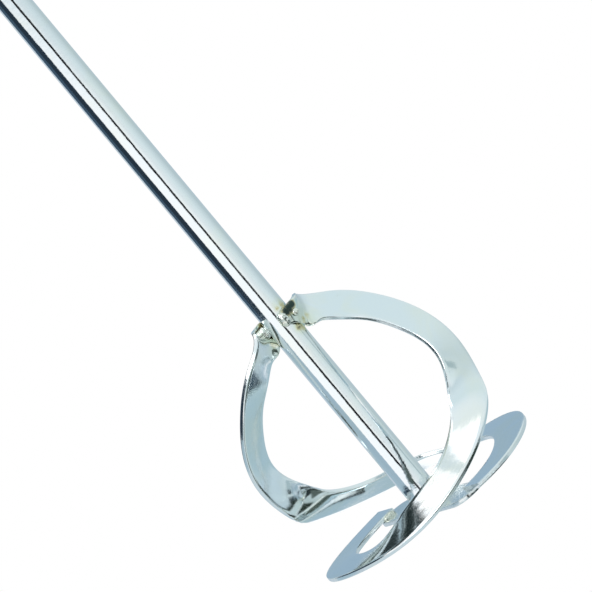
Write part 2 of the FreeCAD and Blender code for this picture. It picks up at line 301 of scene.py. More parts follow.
# ---------------------------------------------------------------- shared finish effects
@dataclass
class SharedEffects:
    """The shader groups that every plated finish uses, each built once. Scales are cells in a metre."""

    cloud_scale: float = 55.0
    grit_scale: float = 1300.0
    speck_scale: float = 620.0
    patch_scale: float = 70.0
    scorch_and_shade_scale: float = 420.0
    speck_tone: Tone = (0.22, 0.19, 0.13)
    fleck_height: float = 0.05
    # The near-black green stop is partly weld tint and partly painted shade: the spots by the tab reach it
    # and darken the pocket where the tab meets the rod.
    scorch_and_shade_tones: tuple[tuple[float, Tone], ...] = (
        (0.0, (1, 1, 1)), (0.35, (0.98, 0.97, 0.84)), (0.6, (0.85, 0.74, 0.45)), (0.8, (0.36, 0.32, 0.22)),
        (1.0, (0.07, 0.10, 0.085)))

    def __post_init__(self) -> None:
        """Builds the four groups."""
        self.grain = self.build_grain()
        self.skin = self.build_skin()
        self.tint = self.build_tint()
        self.heat = self.build_heat()

    def build_grain(self) -> bpy.types.NodeTree:
        """Fine lines that the drawing or rolling left along the metal.

        Returns:
            The group, which gives the lines' height and the duller streaks among them.
        """
        tree, given, out = new_group(
            "drawn_grain",
            [("Lay", "Vector", None), ("Along", "Float", 40.0), ("Across", "Float", 2500.0)],
            [("Height", "Float"), ("Streak", "Float")])
        along, across, through = tree.parts(given["Lay"])
        stretched = tree.joined(
            tree.math("MULTIPLY", along, given["Along"]), tree.math("MULTIPLY", across, given["Across"]),
            tree.math("MULTIPLY", through, given["Across"]))
        lines = tree.noise(stretched, 1.0, detail=3.0, roughness=0.6)
        tree.fill(out, {"Height": lines, "Streak": tree.ramp(lines, 0.52, 0.72)})
        return tree.tree

    def build_skin(self) -> bpy.types.NodeTree:
        """The slight waviness and the fine spangle of a bright plated skin.

        Returns:
            The group, which gives the skin's height and its flecks.
        """
        tree, given, out = new_group(
            "plated_skin",
            [("Place", "Vector", None), ("Peel Scale", "Float", 900.0), ("Spangle Scale", "Float", 4500.0)],
            [("Height", "Float"), ("Spangle", "Float")])
        peel = tree.noise(given["Place"], given["Peel Scale"], detail=2.0, roughness=0.55)
        cells = tree.fill(tree.add("ShaderNodeTexVoronoi", feature="F1"), {
            "Vector": given["Place"], "Scale": given["Spangle Scale"]})
        fleck = tree.math("SUBTRACT", 1.0, tree.ramp(cells.outputs["Distance"], 0.1, 0.6))
        height = tree.math("ADD", peel, tree.math("MULTIPLY", fleck, self.fleck_height))
        tree.fill(out, {"Height": height, "Spangle": fleck})
        return tree.tree

    def build_tint(self) -> bpy.types.NodeTree:
        """Base colour that wanders between the plate's cool and warm passivation tints, bright at the rims.

        Returns:
            The group, which gives the colour, the dull specks and the worn places.
        """
        tree, given, out = new_group(
            "passivated_colour",
            [("Place", "Vector", None), ("Rim", "Float", 0.0), ("Cool", "Color", (0.8, 0.85, 0.9, 1)),
             ("Warm", "Color", (0.85, 0.85, 0.72, 1)), ("Bare", "Color", (0.9, 0.91, 0.92, 1)),
             ("Warmth", "Float", 0.4), ("Spots", "Float", 0.3)],
            [("Color", "Color"), ("Spot", "Float"), ("Wear", "Float")])
        place = given["Place"]
        cloud = tree.noise(place, self.cloud_scale, detail=3.0, roughness=0.6, distortion=0.6)
        share = tree.math("MULTIPLY", tree.ramp(cloud, 0.42, 0.68), given["Warmth"])
        base = tree.mix(share, given["Cool"], given["Warm"])
        grit = tree.noise(place, self.grit_scale, detail=2.0, roughness=0.7)
        worn = tree.math("MULTIPLY", given["Rim"], tree.ramp(grit, 0.38, 0.6))
        base = tree.mix(worn, base, given["Bare"])
        specks = tree.noise(place, self.speck_scale, detail=4.0, roughness=0.75)
        patch = tree.noise(place, self.patch_scale, detail=1.0)
        spot = tree.math("MULTIPLY", tree.ramp(specks, 0.655, 0.72), tree.ramp(patch, 0.5, 0.62))
        spot = tree.math("MULTIPLY", spot, given["Spots"])
        base = tree.mix(spot, base, (*self.speck_tone, 1))
        tree.fill(out, {"Color": base, "Spot": spot, "Wear": worn})
        return tree.tree

    def build_heat(self) -> bpy.types.NodeTree:
        """The straw, brown and near-black green that welding left on the plate; the near-black green by the
        tab is also painted shade.

        Returns:
            The group, which gives the tinted colour with its painted shade, and how scorched it is.
        """
        tree, given, out = new_group(
            "heat_tint_and_shade",
            [("Place", "Vector", None), ("Heat", "Float", 0.0), ("Color", "Color", (0.8, 0.85, 0.9, 1))],
            [("Color", "Color"), ("ScorchAndShade", "Float")])
        broken = tree.noise(given["Place"], self.scorch_and_shade_scale, detail=3.0, roughness=0.65)
        level = tree.math("MULTIPLY", given["Heat"], tree.math("ADD", 0.35, broken), clamp=True)
        tinted = tree.mix(1.0, given["Color"], tree.tones(level, self.scorch_and_shade_tones), "MULTIPLY")
        tree.fill(out, {"Color": tinted, "ScorchAndShade": tree.ramp(level, 0.4, 0.9)})
        return tree.tree


@dataclass(frozen=True)
class PlatedFinish:
    """Bright zinc plate over drawn or rolled steel, with its own strengths of each shared effect."""

    name: str
    slot: str
    cool: Tone
    warm: Tone
    warmth: float
    spots: float
    gloss: float
    grain_along: float
    grain_across: float
    grain_depth: float
    peel_scale: float
    peel_depth: float
    spangle_scale: float = 3500.0
    streak_dulling: float = 0.08
    spangle_dulling: float = 0.03
    wear_dulling: float = 0.1
    spot_dulling: float = 0.35
    scorch_dulling: float = 0.3
    peel_height: float = 0.6 * MM
    grain_height: float = 0.1 * MM

    def build(self, effects: SharedEffects) -> bpy.types.Material:
        """Makes the material.

        Args:
            effects: The shared shader groups.

        Returns:
            The finished material.
        """
        material = bpy.data.materials.new(self.name)
        material.use_nodes = True
        material.node_tree.nodes.clear()
        tree = Tree(material.node_tree)
        place = tree.add("ShaderNodeTexCoord").outputs["Object"]
        lay = tree.add("ShaderNodeAttribute", attribute_name=LAY).outputs["Vector"]
        rim = tree.add("ShaderNodeAttribute", attribute_name=RIM).outputs["Fac"]
        heat = tree.add("ShaderNodeAttribute", attribute_name=HEAT_AND_SHADE).outputs["Fac"]

        grain = tree.fill(tree.add("ShaderNodeGroup", node_tree=effects.grain), {
            "Lay": lay, "Along": self.grain_along, "Across": self.grain_across})
        skin = tree.fill(tree.add("ShaderNodeGroup", node_tree=effects.skin), {
            "Place": place, "Peel Scale": self.peel_scale, "Spangle Scale": self.spangle_scale})
        tint = tree.fill(tree.add("ShaderNodeGroup", node_tree=effects.tint), {
            "Place": place, "Rim": rim, "Cool": (*self.cool, 1), "Warm": (*self.warm, 1),
            "Warmth": self.warmth, "Spots": self.spots})
        # Weld heat tint, which by the tab also paints shade in near-black green.
        scorch_and_shade = tree.fill(tree.add("ShaderNodeGroup", node_tree=effects.heat), {
            "Place": place, "Heat": heat, "Color": tint.outputs["Color"]})

        rough = self.gloss
        for mask, dulling in ((grain.outputs["Streak"], self.streak_dulling),
                              (skin.outputs["Spangle"], self.spangle_dulling),
                              (tint.outputs["Wear"], self.wear_dulling),
                              (tint.outputs["Spot"], self.spot_dulling),
                              (scorch_and_shade.outputs["ScorchAndShade"], self.scorch_dulling)):
            rough = tree.math("ADD", rough, tree.math("MULTIPLY", mask, dulling), clamp=True)

        peel = tree.fill(tree.add("ShaderNodeBump"), {
            "Strength": self.peel_depth, "Distance": self.peel_height, "Height": skin.outputs["Height"]})
        lines = tree.fill(tree.add("ShaderNodeBump"), {
            "Strength": self.grain_depth, "Distance": self.grain_height, "Height": grain.outputs["Height"],
            "Normal": peel.outputs[0]})
        shader = tree.fill(tree.add("ShaderNodeBsdfPrincipled"), {
            "Metallic": 1.0, "Base Color": scorch_and_shade.outputs["Color"], "Roughness": rough,
            "Normal": lines.outputs[0]})
        tree.fill(tree.add("ShaderNodeOutputMaterial"), {"Surface": shader.outputs[0]})
        return material


ROD_FINISH = PlatedFinish(
    "bright_drawn_bar", "plated_rod", cool=(0.83, 0.87, 0.9), warm=(0.86, 0.88, 0.8), warmth=0.5, spots=0.35,
    gloss=0.07, grain_along=14.0, grain_across=2200.0, grain_depth=0.10, peel_scale=420.0, peel_depth=0.06)
RIBBON_FINISH = PlatedFinish(
    "bright_ribbon", "plated_ribbon", cool=(0.84, 0.89, 0.92), warm=(0.88, 0.89, 0.8), warmth=0.55,
    spots=0.25,
    gloss=0.07, grain_along=25.0, grain_across=1500.0, grain_depth=0.05, peel_scale=170.0, peel_depth=0.10)
STRIP_FINISH = PlatedFinish(
    "plated_cross_strip", "plated_strip", cool=(0.74, 0.79, 0.8), warm=(0.8, 0.8, 0.68), warmth=0.6,
    spots=0.8,
    gloss=0.12, grain_along=25.0, grain_across=1500.0, grain_depth=0.08, peel_scale=240.0, peel_depth=0.18)
WELD_FINISH = PlatedFinish(
    "plated_weld_bead", "weld_metal", cool=(0.86, 0.88, 0.88), warm=(0.82, 0.78, 0.6), warmth=0.7, spots=0.7,
    gloss=0.16, grain_along=200.0, grain_across=900.0, grain_depth=0.2, peel_scale=900.0, peel_depth=0.5)


# ---------------------------------------------------------------- geometry node trees
class ShapeTree(Tree):
    """A Geometry Nodes tree that follows a guide line and ends in Realize Instances and Set Material."""

    def __init__(self, name: str, inputs: Sequence[tuple[str, str, object]]) -> None:
        """Makes the tree and its sockets.

        Args:
            name: The tree's name.
            inputs: Name, kind and default of each input after the geometry.
        """
        group = bpy.data.node_groups.new(name, "GeometryNodeTree")
        super().__init__(group)
        add_sockets(group, [("Geometry", "Geometry", None), *inputs, ("Material", "Material", None)],
                    [("Geometry", "Geometry")])
        self.given = self.add("NodeGroupInput").outputs
        self.output = self.add("NodeGroupOutput")

    def named(self, kind: str, name: str) -> Socket:
        """Reads a named attribute of that data type."""
        node = self.add("GeometryNodeInputNamedAttribute", data_type=kind)
        return self.fill(node, {"Name": name}).outputs["Attribute"]

    def from_line(self) -> Socket:
        """How far a point lies from the guide line's own point, as a vector."""
        place = self.add("GeometryNodeInputPosition").outputs[0]
        return self.vector("SUBTRACT", place, self.named("FLOAT_VECTOR", "centre")).outputs[0]

    def rail(self) -> Socket:
        """The guide line as a curve."""
        return self.fill(self.add("GeometryNodeMeshToCurve"), {"Mesh": self.given["Geometry"]}).outputs[0]

    def sweep(self, rail: Socket, profile: Socket, size: object = 1.0) -> Socket:
        """Runs a profile along a rail and caps its ends.

        Args:
            rail: The curve to follow.
            profile: The closed curve that is swept.
            size: What the profile is multiplied by at each point.

        Returns:
            The swept mesh.
        """
        return self.fill(self.add("GeometryNodeCurveToMesh"), {
            "Curve": rail, "Profile Curve": profile, "Scale": size, "Fill Caps": True}).outputs[0]

    def moved(self, geometry: Socket, direction: Socket, distance: Socket) -> Socket:
        """Moves every point.

        Args:
            geometry: The geometry so far.
            direction: Which way each point goes.
            distance: How far it goes.

        Returns:
            The moved geometry.
        """
        return self.fill(self.add("GeometryNodeSetPosition"), {
            "Geometry": geometry, "Offset": self.scaled(direction, distance)}).outputs[0]

    def keep(self, geometry: Socket, kind: str, name: str, value: Socket) -> Socket:
        """Stores a value on every point.

        Args:
            geometry: The geometry so far.
            kind: The attribute's data type.
            name: The attribute's name.
            value: What to store.

        Returns:
            The geometry with the attribute.
        """
        node = self.add("GeometryNodeStoreNamedAttribute", data_type=kind, domain="POINT")
        return self.fill(node, {"Geometry": geometry, "Name": name, "Value": value}).outputs[0]

    def close(self, geometry: Socket) -> bpy.types.NodeTree:
        """Ends the tree: smooth sides, flat caps, realized, with the material that was asked for.

        Args:
            geometry: The finished geometry.

        Returns:
            The node tree.
        """
        corners = self.add("GeometryNodeInputMeshFaceNeighbors").outputs["Vertex Count"]
        cap = self.add("FunctionNodeCompare", data_type="INT", operation="GREATER_THAN")
        self.feed(cap.inputs[2], corners)
        self.feed(cap.inputs[3], 4)
        side = self.add("FunctionNodeBooleanMath", operation="NOT")
        self.feed(side.inputs[0], cap.outputs[0])
        shade = self.fill(self.add("GeometryNodeSetShadeSmooth"), {
            "Geometry": geometry, "Shade Smooth": side.outputs[0]})
        real = self.fill(self.add("GeometryNodeRealizeInstances"), {"Geometry": shade.outputs[0]})
        dress = self.fill(self.add("GeometryNodeSetMaterial"), {
            "Geometry": real.outputs[0], "Material": self.given["Material"]})
        self.feed(self.output.inputs[0], dress.outputs[0])
        return self.tree


def strip_tree() -> bpy.types.NodeTree:
    """A flat strip with sheared, slightly rounded edges that follows a line and the way its width points.

    Returns:
        The tree. Its guide carries width_way, face_way and width_share.
    """
    tree = ShapeTree("bent_strip", [
        ("Width", "Float", 12 * MM), ("Thickness", "Float", 1.5 * MM), ("Edge Radius", "Float", 0.3 * MM),
        ("Rim Width", "Float", 1.2 * MM), ("Edge Steps", "Int", 2), ("Cuts", "Int", 9)])
    width_way = tree.named("FLOAT_VECTOR", "width_way")
    rail = tree.fill(tree.add("GeometryNodeSetCurveNormal", mode="FREE"), {
        "Curve": tree.rail(), "Normal": width_way}).outputs[0]
    box = tree.fill(tree.add("GeometryNodeCurvePrimitiveQuadrilateral", mode="RECTANGLE"), {
        "Width": tree.given["Width"], "Height": tree.given["Thickness"]})
    soft = tree.fill(tree.add("GeometryNodeFilletCurve", mode="POLY"), {
        "Curve": box.outputs[0], "Radius": tree.given["Edge Radius"], "Count": tree.given["Edge Steps"]})
    fine = tree.fill(tree.add("GeometryNodeSubdivideCurve"), {
        "Curve": soft.outputs[0], "Cuts": tree.given["Cuts"]})
    shape = tree.sweep(rail, fine.outputs[0])

    offset = tree.from_line()
    across = tree.vector("DOT_PRODUCT", offset, width_way).outputs["Value"]
    through = tree.vector("DOT_PRODUCT", offset, tree.named("FLOAT_VECTOR", "face_way")).outputs["Value"]
    inside = tree.math("SUBTRACT", tree.math("MULTIPLY", tree.given["Width"], 0.5),
                       tree.math("ABSOLUTE", across))
    rim = tree.math("SUBTRACT", 1.0, tree.ramp(inside, 0.0, tree.given["Rim Width"]))
    shape = tree.keep(shape, "FLOAT", RIM, rim)
    shape = tree.keep(shape, "FLOAT_VECTOR", LAY, tree.joined(tree.named("FLOAT", "along"), across, through))
    widening = tree.math("SUBTRACT", tree.named("FLOAT", "width_share"), 1.0)
    return tree.close(tree.moved(shape, width_way, tree.math("MULTIPLY", across, widening)))


def bead_tree() -> bpy.types.NodeTree:
    """A run of weld metal along a line, swollen and rippled.

    Returns:
        The tree. Its guide carries swell.
    """
    tree = ShapeTree("weld_bead", [
        ("Radius", "Float", 1.5 * MM), ("Ripple Pitch", "Float", 1.3 * MM),
        ("Ripple Depth", "Float", 0.03 * MM), ("Lumps", "Float", 0.6 * MM),
        ("Lump Scale", "Float", 700.0), ("Sides", "Int", 28), ("Seed", "Float", 0.0)])
    swell = tree.named("FLOAT", "swell")
    along = tree.named("FLOAT", "along")
    ring = tree.fill(tree.add("GeometryNodeCurvePrimitiveCircle"), {
        "Resolution": tree.given["Sides"], "Radius": tree.given["Radius"]})
    shape = tree.sweep(tree.rail(), ring.outputs[0], swell)

    turns = tree.math("DIVIDE", along, tree.given["Ripple Pitch"])
    wave = tree.math("SINE", tree.math("MULTIPLY", turns, 2 * math.pi))
    lump = tree.fill(tree.add("ShaderNodeTexNoise", noise_dimensions="4D"), {
        "Vector": tree.add("GeometryNodeInputPosition").outputs[0], "W": tree.given["Seed"],
        "Scale": tree.given["Lump Scale"]})
    lumps = tree.math("MULTIPLY", tree.math("SUBTRACT", lump.outputs[0], 0.5), tree.given["Lumps"])
    rise = tree.math("ADD", tree.math("MULTIPLY", wave, tree.given["Ripple Depth"]), lumps)
    shape = tree.moved(shape, tree.add("GeometryNodeInputNormal").outputs[0],
                       tree.math("MULTIPLY", rise, swell))
    out = tree.vector("LENGTH", tree.from_line()).outputs["Value"]
    return tree.close(tree.keep(shape, "FLOAT_VECTOR", LAY, tree.joined(along, out)))


# ---------------------------------------------------------------- meshes and objects
@dataclass
class GuideLine:
    """A line for a tree to follow, with one value of each attribute at each of its points."""

    points: np.ndarray
    values: dict[str, np.ndarray]
    closed: bool = False

    def lengths(self) -> np.ndarray:
        """Distance of each point from the first, along the line."""
        steps = np.linalg.norm(np.diff(self.points, axis=0), axis=1)
        return np.concatenate([[0.0], np.cumsum(steps)])

    def mesh(self, name: str, turn: Matrix) -> bpy.types.Mesh:
        """The line as a mesh of edges, turned about the rod.

        Args:
            name: The mesh's name.
            turn: The rotation to apply to points and directions.

        Returns:
            A mesh with the attributes that the trees read.
        """
        rotate = np.array(turn.to_3x3())
        count = len(self.points)
        edges = [(i, i + 1) for i in range(count - 1)] + ([(count - 1, 0)] if self.closed else [])
        mesh = bpy.data.meshes.new(name)
        mesh.from_pydata([tuple(p) for p in self.points @ rotate.T], edges, [])
        for label, numbers in {"along": self.lengths(), "centre": self.points, **self.values}.items():
            if numbers.ndim == 1:
                set_floats(mesh, label, numbers)
            else:
                set_vectors(mesh, label, numbers @ rotate.T)
        return mesh


def set_floats(mesh: bpy.types.Mesh, name: str, values: Sequence[float]) -> None:
    """Writes a number to every vertex of a mesh as a named attribute."""
    attribute = mesh.attributes.get(name) or mesh.attributes.new(name, "FLOAT", "POINT")
    attribute.data.foreach_set("value", np.asarray(values, np.float32))


def set_vectors(mesh: bpy.types.Mesh, name: str, values: np.ndarray) -> None:
    """Writes a vector to every vertex of a mesh as a named attribute."""
    attribute = mesh.attributes.get(name) or mesh.attributes.new(name, "FLOAT_VECTOR", "POINT")
    attribute.data.foreach_set("vector", np.asarray(values, np.float32).ravel())


def set_even_heat(mesh: bpy.types.Mesh, heat: float) -> None:
    """Writes the same heat to every vertex."""
    set_floats(mesh, HEAT_AND_SHADE, np.full(len(mesh.vertices), heat))


def places_of(mesh: bpy.types.Mesh) -> np.ndarray:
    """Every vertex's place as rows of an array."""
    places = np.zeros(len(mesh.vertices) * 3, np.float32)
    mesh.vertices.foreach_get("co", places)
    return places.reshape(-1, 3).astype(float)


def linked(name: str, data: bpy.types.ID) -> bpy.types.Object:
    """A new object of that mesh, lamp or camera, linked to the scene."""
    thing = bpy.data.objects.new(name, data)
    bpy.context.scene.collection.objects.link(thing)
    return thing


def evaluated_mesh(holder: bpy.types.Object) -> bpy.types.Mesh:
    """A plain mesh of what an object looks like with its modifiers."""
    graph = bpy.context.evaluated_depsgraph_get()
    return bpy.data.meshes.new_from_object(holder.evaluated_get(graph), preserve_all_data_layers=True,
                                           depsgraph=graph)


def mesh_of(shape: bmesh.types.BMesh, name: str) -> bpy.types.Mesh:
    """A mesh of the shape, which is then freed."""
    mesh = bpy.data.meshes.new(name)
    shape.to_mesh(mesh)
    shape.free()
    return mesh


def skin_rings(shape: bmesh.types.BMesh, rings: list[list[bmesh.types.BMVert]]) -> None:
    """Joins rings of equal length into one closed skin.

    Args:
        shape: The shape that holds the rings.
        rings: The rings from the lowest up, each anticlockwise seen from above.
    """
    for under, over in zip(rings, rings[1:]):
        for i in range(len(under)):
            j = (i + 1) % len(under)
            shape.faces.new((under[i], under[j], over[j], over[i]))
    shape.faces.new(rings[0][::-1])
    shape.faces.new(rings[-1])


def plain_mesh(name: str, guide: bpy.types.Mesh, group: bpy.types.NodeTree,
               settings: dict[str, object]) -> bpy.types.Object:
    """Runs a tree on a guide mesh and keeps the result as a plain mesh.

    Args:
        name: The new object's name.
        guide: The mesh that the tree reads.
        group: The tree.
        settings: Values of its named inputs.

    Returns:
        The linked object, with no modifier left on it.
    """
    holder = linked(f"{name}_guide", guide)
    modifier = holder.modifiers.new("shape", "NODES")
    modifier.node_group = group
    for item in group.interface.items_tree:
        if item.item_type == "SOCKET" and item.in_out == "INPUT" and item.name in settings:
            modifier[item.identifier] = settings[item.name]
    bpy.context.view_layer.update()
    mesh = evaluated_mesh(holder)
    bpy.data.objects.remove(holder)
    mesh.name = name
    return linked(name, mesh)


def hand_over(piece: bpy.types.Object, node: str) -> bpy.types.Object:
    """Says what a finished piece rides on and replaces, and reports it.

    Args:
        piece: The finished object.
        node: The CAD node it stands for.

    Returns:
        The same object.
    """
    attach(piece, BODY)
    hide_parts(node)
    LOG.info("%s: %d faces for %s", piece.name, len(piece.data.polygons), node)
    return piece


@dataclass(frozen=True)
class ScorchAndShade:
    """A spot that welding scorched, on ribbon A's side of the rod, in millimetres; the spots by the tab also
    paint shade.
    """

    x: float
    y: float
    z: float
    reach: float
    level: float

    def heat(self, places: np.ndarray, core: float) -> np.ndarray:
        """How hot this spot left each place, which by the tab is also painted shade.

        Args:
            places: Rows of X, Y and Z, in metres.
            core: In reaches, how far from its middle the heat has gone.

        Returns:
            One number for each place.
        """
        near = np.linalg.norm(places - np.array((self.x, self.y, self.z)) * MM, axis=1)
        return self.level * np.clip(core - near / (self.reach * MM), 0, 1)


# ---------------------------------------------------------------- drive rod
@dataclass
class DriveRod:
    """The long round bar and its slotted shank."""

    finish: PlatedFinish
    sides: int = 160
    tip_bevel: float = 1.0 * MM
    shank_length: float = 56 * MM
    relief_width: float = 1.2 * MM
    relief_depth: float = 0.25 * MM
    ball_radius: float = 3.5 * MM
    ball_depth: float = 2 * MM
    ball_start: float = 5.5 * MM
    ball_length: float = 20 * MM
    ball_sides: int = 64
    ball_rings: int = 48
    spline_width: float = 2.8 * MM
    spline_depth: float = 1.4 * MM
    spline_length: float = 25 * MM
    edge_round: float = 0.12 * MM
    sharp_angle: float = math.radians(24)
    smooth_angle: float = math.radians(32)
    heated_height: float = 90 * MM
    ring_step: float = 1.5 * MM
    foot_heat: float = 0.75
    foot_heat_height: float = 4 * MM
    scorch_and_shade_core: float = 1.4
    # Scorched spots above and below the tab, partly weld tint and partly painted shade.
    scorch_and_shade_spots: tuple[ScorchAndShade, ...] = (
        ScorchAndShade(3.5, -3.6, 70.7, reach=1.7, level=0.9), ScorchAndShade(4.4, -2.2, 69.9, reach=1.8, level=0.8),
        ScorchAndShade(4.0, -3.0, 79.6, reach=1.6, level=0.8), ScorchAndShade(2.0, -4.6, 79.8, reach=1.2, level=0.7))

    def build(self, effects: SharedEffects) -> bpy.types.Object:
        """Turns the bar, cuts its grooves, softens their edges and dresses it.

        Args:
            effects: The shared shader groups.

        Returns:
            The finished rod.
        """
        low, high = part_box("drive_rod")
        radius = (high.x - low.x) / 2
        rod = self.turned_bar("drive_rod_visual", low.z, high.z, radius)
        for cutter in self.cutters(high.z, radius):
            self.cut(rod, cutter)
        self.soften(rod)
        self.mark(rod.data, low.z, high.z, radius)
        rod.data.materials.clear()
        rod.data.materials.append(self.finish.build(effects))
        return hand_over(rod, "drive_rod")

    def turned_bar(self, name: str, foot: float, tip: float, radius: float) -> bpy.types.Object:
        """The bar with its bevelled tip and its turned relief, as one closed lathe shape.

        Args:
            name: The object's name.
            foot: Height of its lower end.
            tip: Height of its upper end.
            radius: The bar's radius.

        Returns:
            The linked bar, with close rings where welding marks it.
        """
        neck = tip - self.shank_length
        heated = [(radius, height)
                  for height in np.arange(foot + self.ring_step, self.heated_height, self.ring_step)]
        outline = [(radius, foot), *heated, (radius, neck - self.relief_width),
                   (radius - self.relief_depth, neck - self.relief_width), (radius - self.relief_depth, neck),
                   (radius, neck), (radius, tip - self.tip_bevel), (radius - self.tip_bevel, tip)]
        around = np.arange(self.sides) * 2 * math.pi / self.sides
        shape = bmesh.new()
        skin_rings(shape, [[shape.verts.new((reach * math.cos(a), reach * math.sin(a), height))
                            for a in around] for reach, height in outline])
        return linked(name, mesh_of(shape, name))

    def cutters(self, tip: float, radius: float) -> list[bpy.types.Object]:
        """The shapes that leave the four grooves: two capsules on X and two bars on Y.

        Args:
            tip: Height of the rod's upper end.
            radius: The rod's radius.

        Returns:
            The four tools.
        """
        ride = radius + self.ball_radius - self.ball_depth
        top = tip - self.ball_start - self.ball_radius
        bottom = tip - self.ball_start - self.ball_length + self.ball_radius
        equator = 0.0001 * MM
        tools = []
        for side in (1, -1):
            ball = bmesh.new()
            bmesh.ops.create_uvsphere(ball, u_segments=self.ball_sides, v_segments=self.ball_rings,
                                      radius=self.ball_radius)
            for vert in ball.verts:
                vert.co.x += side * ride
                vert.co.z += top if vert.co.z > equator else bottom
            tools.append(linked(f"ball_tool_{side}", mesh_of(ball, f"ball_tool_{side}")))
            bar = bmesh.new()
            bmesh.ops.create_cube(bar, size=1.0)
            for vert in bar.verts:
                vert.co.x *= self.spline_width
                vert.co.y = vert.co.y * 2 * self.spline_depth + side * radius
                vert.co.z = tip + math.copysign(self.spline_length, vert.co.z)
            tools.append(linked(f"spline_tool_{side}", mesh_of(bar, f"spline_tool_{side}")))
        return tools

    @staticmethod
    def cut(rod: bpy.types.Object, tool: bpy.types.Object) -> None:
        """Takes one tool's shape out of the rod and removes the tool.

        Args:
            rod: The rod so far.
            tool: The shape to take out.
        """
        modifier = rod.modifiers.new("cut", "BOOLEAN")
        modifier.operation = "DIFFERENCE"
        modifier.solver = "EXACT"
        modifier.object = tool
        mesh = evaluated_mesh(rod)
        rod.modifiers.clear()
        rod.data = mesh
        bpy.data.objects.remove(tool)

    def soften(self, rod: bpy.types.Object) -> None:
        """Rounds every sharp edge a little and shades the rest smooth.

        Args:
            rod: The rod with its grooves cut.
        """
        shape = bmesh.new()
        shape.from_mesh(rod.data)
        bmesh.ops.remove_doubles(shape, verts=shape.verts, dist=0.002 * MM)
        sharp = [e for e in shape.edges if len(e.link_faces) == 2 and e.calc_face_angle() > self.sharp_angle]
        bmesh.ops.bevel(shape, geom=sharp, offset=self.edge_round, segments=3, affect="EDGES",
                        profile=0.5, clamp_overlap=True)
        for face in shape.faces:
            face.smooth = True
        for edge in shape.edges:
            edge.smooth = len(edge.link_faces) == 2 and edge.calc_face_angle() < self.smooth_angle
        shape.to_mesh(rod.data)
        shape.free()

    def mark(self, mesh: bpy.types.Mesh, foot: float, tip: float, radius: float) -> None:
        """Writes the grain's lay, the worn tip and the heat of the welds, with painted shade beside the tab,
        to the rod's vertices.

        Args:
            mesh: The rod's mesh.
            foot: Height of its lower end.
            tip: Height of its upper end.
            radius: The rod's radius.
        """
        places = places_of(mesh)
        height = places[:, 2]
        around = np.arctan2(places[:, 1], places[:, 0])
        set_vectors(mesh, LAY, np.stack([height, radius * np.cos(around), radius * np.sin(around)], 1))
        set_floats(mesh, RIM, np.clip(1 - (tip - height) / (2 * self.tip_bevel), 0, 1))
        heat = self.foot_heat * np.clip(1 - (height - foot) / self.foot_heat_height, 0, 1)
        for letter in Letter:
            for spot in self.scorch_and_shade_spots:
                heat = np.maximum(heat, spot.heat(places * (letter.side, letter.side, 1), self.scorch_and_shade_core))
        set_floats(mesh, HEAT_AND_SHADE, heat)


# ---------------------------------------------------------------- cross strip
@dataclass
class CrossStrip:
    """The flat bar with rounded ends on which the rod and both ribbon tails stand."""

    finish: PlatedFinish
    angle: float = math.radians(112)
    width: float = 12 * MM
    edge_round: float = 0.25 * MM
    edge_angles: tuple[int, ...] = (0, 30, 60, 90)
    rim_width: float = 1.2 * MM
    end_steps: int = 40

    def build(self, effects: SharedEffects) -> bpy.types.Object:
        """Makes the plate from its outline, rounds its edges and dresses it.

        Args:
            effects: The shared shader groups.

        Returns:
            The finished cross strip.
        """
        low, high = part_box("cross_strip")
        half = self.width / 2
        straight = ((high.y - low.y) / 2 - half) / math.sin(self.angle)
        corners = [(side, math.pi * (step / self.end_steps - 0.5))
                   for side in (1, -1) for step in range(self.end_steps + 1)]
        levels = self.edge_levels(low.z, high.z)
        shape = bmesh.new()
        rings = []
        for inset, height in levels:
            reach = half - inset
            rings.append([shape.verts.new((side * (straight + reach * math.cos(a)),
                                           side * reach * math.sin(a), height))
                          for side, a in corners])
        skin_rings(shape, rings)
        for face in shape.faces:
            face.smooth = len(face.verts) == 4
        flat = np.array([v.co[:] for v in shape.verts])
        bmesh.ops.transform(shape, matrix=Matrix.Rotation(self.angle, 4, "Z"), verts=shape.verts)
        mesh = mesh_of(shape, "cross_strip_visual")
        set_vectors(mesh, LAY, flat)
        edge = np.array([inset for inset, _ in levels for _ in corners])
        set_floats(mesh, RIM, np.clip(1 - edge / self.rim_width, 0, 1))
        mesh.materials.append(self.finish.build(effects))
        return hand_over(linked("cross_strip_visual", mesh), "cross_strip")

    def edge_levels(self, low: float, high: float) -> list[tuple[float, float]]:
        """Each ring of the plate's rounded edge, with one ring further in on each face.

        Args:
            low: Height of the plate's underside.
            high: Height of its top.

        Returns:
            Inset and height of each ring, from the underside up.
        """
        under = [(self.edge_round * (1 - math.sin(a)), low + self.edge_round * (1 - math.cos(a)))
                 for a in map(math.radians, self.edge_angles)]
        over = [(inset, high + low - height) for inset, height in reversed(under)]
        return [(self.rim_width, low)] + under + over + [(self.rim_width, high)]


# ---------------------------------------------------------------- ribbons
@dataclass(frozen=True)
class Bend:
    """One place of ribbon A's middle line and the way its width points there, in millimetres and degrees.

    Angle is about the rod. Swing turns the width from pointing straight out, and dip points it down.
    """

    angle: float
    radius: float
    height: float
    swing: float
    dip: float

    def place(self) -> Place:
        """The point, in metres."""
        a = math.radians(self.angle)
        return self.radius * MM * math.cos(a), self.radius * MM * math.sin(a), self.height * MM

    def width_way(self) -> Place:
        """The unit vector across the strip."""
        a = math.radians(self.angle + self.swing)
        d = math.radians(self.dip)
        return math.cos(a) * math.cos(d), math.sin(a) * math.cos(d), -math.sin(d)


